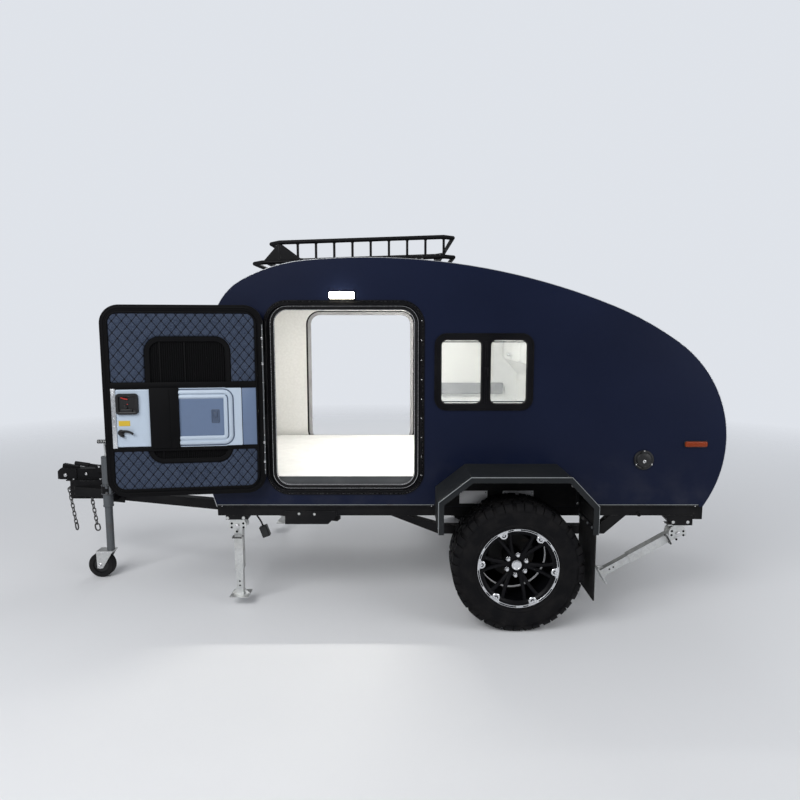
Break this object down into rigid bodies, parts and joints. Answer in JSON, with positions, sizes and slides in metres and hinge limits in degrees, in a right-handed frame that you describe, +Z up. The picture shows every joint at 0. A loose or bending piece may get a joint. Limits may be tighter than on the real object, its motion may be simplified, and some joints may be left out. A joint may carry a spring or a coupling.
{
  "type": "teardrop trailer",
  "caption": "Teardrop camping trailer with two side doors, rear galley hatch, roof basket, off-road wheels, nose jack and folding corner legs.",
  "frame": {"origin": "on the ground below the middle of the overall box", "axes": "+X from the hitch to the tail, +Y to the trailer's right side, +Z up"},
  "size_m": [4.2463, 2.174, 2.1815],
  "materials": {
    "navy_panel": "satin dark navy sandwich panel",
    "black_frame": "black powder-coated aluminium",
    "black_steel": "black painted steel",
    "trim_metal": "bright anodised strip",
    "zinc_steel": "zinc-plated steel",
    "white_panel": "white cabin board",
    "mattress_cover": "white quilted cover",
    "quilt": "grey quilted liner",
    "white_plastic": "white moulded plastic",
    "window_glass": "clear acrylic",
    "dark_glass": "dark tinted acrylic",
    "lamp_white": "lit frosted lens",
    "lamp_amber": "amber lens",
    "lamp_red": "red lens",
    "black_plastic": "black moulded plastic",
    "tyre_rubber": "black tyre rubber",
    "rubber": "black rubber",
    "rim_paint": "black alloy with machined ring",
    "cast_hub": "dark cast drum"
  },
  "bodies": {
    "trailer": {"axle_beam": "black_steel", "brake_lever": "black_steel", "bulkhead": "white_panel", "cabin_floor": "white_panel", "chassis_rails": "black_steel", "coupler": "black_steel", "cross_members": "black_steel", "door_frames": "black_frame", "drawbar": "black_steel", "drawbar_brackets": "black_steel", "edge_trim": "trim_metal", "galley_unit": "white_panel", "hatch_hinge": "black_frame", "jack_crank": "zinc_steel", "jack_housing": "zinc_steel", "leg_brackets": "zinc_steel", "leg_hangers": "black_steel", "mattress": "mattress_cover", "mud_flaps": "rubber", "mudguards": "black_steel", "nose_box": "black_steel", "plug_fittings": "black_plastic", "plug_lead": "rubber", "porch_lamps": "lamp_white", "power_inlet": "black_plastic", "roof_rack": "black_steel", "roof_shell": "navy_panel", "safety_chains": "zinc_steel", "side_markers": "lamp_amber", "side_wall_left": "navy_panel", "side_wall_right": "navy_panel", "sill_trim": "trim_metal", "suspension_frame": "black_steel", "swing_arms": "black_steel", "tail_lamps": "lamp_red", "upper_cabinet": "white_panel", "window_frames": "black_frame", "window_panes": "window_glass"},
    "wheel_left": {"tyre_left": "tyre_rubber", "rim_left": "rim_paint", "hub_left": "cast_hub"},
    "wheel_right": {"tyre_right": "tyre_rubber", "rim_right": "rim_paint", "hub_right": "cast_hub"},
    "door_left": {"door_leaf_left": "black_frame", "door_window_left": "dark_glass", "door_liner_left": "quilt", "door_band_left": "white_plastic"},
    "door_right": {"door_leaf_right": "black_frame", "door_window_right": "dark_glass", "door_liner_right": "quilt", "door_band_right": "white_plastic"},
    "hatch": {"hatch": "navy_panel"},
    "jack_leg": {"jack_leg": "zinc_steel"},
    "jockey_fork": {"jockey_fork": "zinc_steel"},
    "jockey_wheel": {"jockey_wheel": "rubber"},
    "leg_front_left": {"leg_front_left": "zinc_steel"},
    "leg_front_right": {"leg_front_right": "zinc_steel"},
    "leg_rear_left": {"leg_rear_left": "zinc_steel"},
    "leg_rear_right": {"leg_rear_right": "zinc_steel"}
  },
  "joints": [
    {"name": "wheel_left_spin", "type": "hinge", "parent": "trailer", "child": "wheel_left", "pos_m": [0.89177, -0.935, 0.355], "axis": [0, 1, 0], "continuous": true},
    {"name": "door_left_swing", "type": "hinge", "parent": "trailer", "child": "door_left", "pos_m": [-0.49023, -0.772, 1.233], "axis": [0, 0, 1], "range_deg": [0, 172]},
    {"name": "wheel_right_spin", "type": "hinge", "parent": "trailer", "child": "wheel_right", "pos_m": [0.89177, 0.935, 0.355], "axis": [0, 1, 0], "continuous": true},
    {"name": "door_right_swing", "type": "hinge", "parent": "trailer", "child": "door_right", "pos_m": [-0.49023, 0.772, 1.233], "axis": [0, 0, -1], "range_deg": [0, 172]},
    {"name": "hatch_lift", "type": "hinge", "parent": "trailer", "child": "hatch", "pos_m": [1.24123, 0, 1.83043], "axis": [0, -1, 0], "range_deg": [0, 75]},
    {"name": "jack_slide", "type": "slide", "parent": "trailer", "child": "jack_leg", "axis": [0, 0, 1], "range_m": [0, 0.28]},
    {"name": "jockey_swivel", "type": "hinge", "parent": "jack_leg", "child": "jockey_fork", "pos_m": [-1.64623, -0.29, 0.182], "axis": [0, 0, 1], "continuous": true},
    {"name": "jockey_wheel_spin", "type": "hinge", "parent": "jockey_fork", "child": "jockey_wheel", "pos_m": [-1.70623, -0.29, 0.083], "axis": [0, 1, 0], "continuous": true},
    {"name": "leg_front_left_swing", "type": "hinge", "parent": "trailer", "child": "leg_front_left", "pos_m": [-0.68923, -0.695, 0.486], "axis": [0, 1, 0], "range_deg": [0, 88]},
    {"name": "leg_front_right_swing", "type": "hinge", "parent": "trailer", "child": "leg_front_right", "pos_m": [-0.68923, 0.695, 0.486], "axis": [0, 1, 0], "range_deg": [0, 88]},
    {"name": "leg_rear_left_swing", "type": "hinge", "parent": "trailer", "child": "leg_rear_left", "pos_m": [1.88177, -0.695, 0.439], "axis": [0, 1, 0], "range_deg": [-22, 20]},
    {"name": "leg_rear_right_swing", "type": "hinge", "parent": "trailer", "child": "leg_rear_right", "pos_m": [1.88177, 0.695, 0.439], "axis": [0, 1, 0], "range_deg": [-22, 20]}
  ]
}
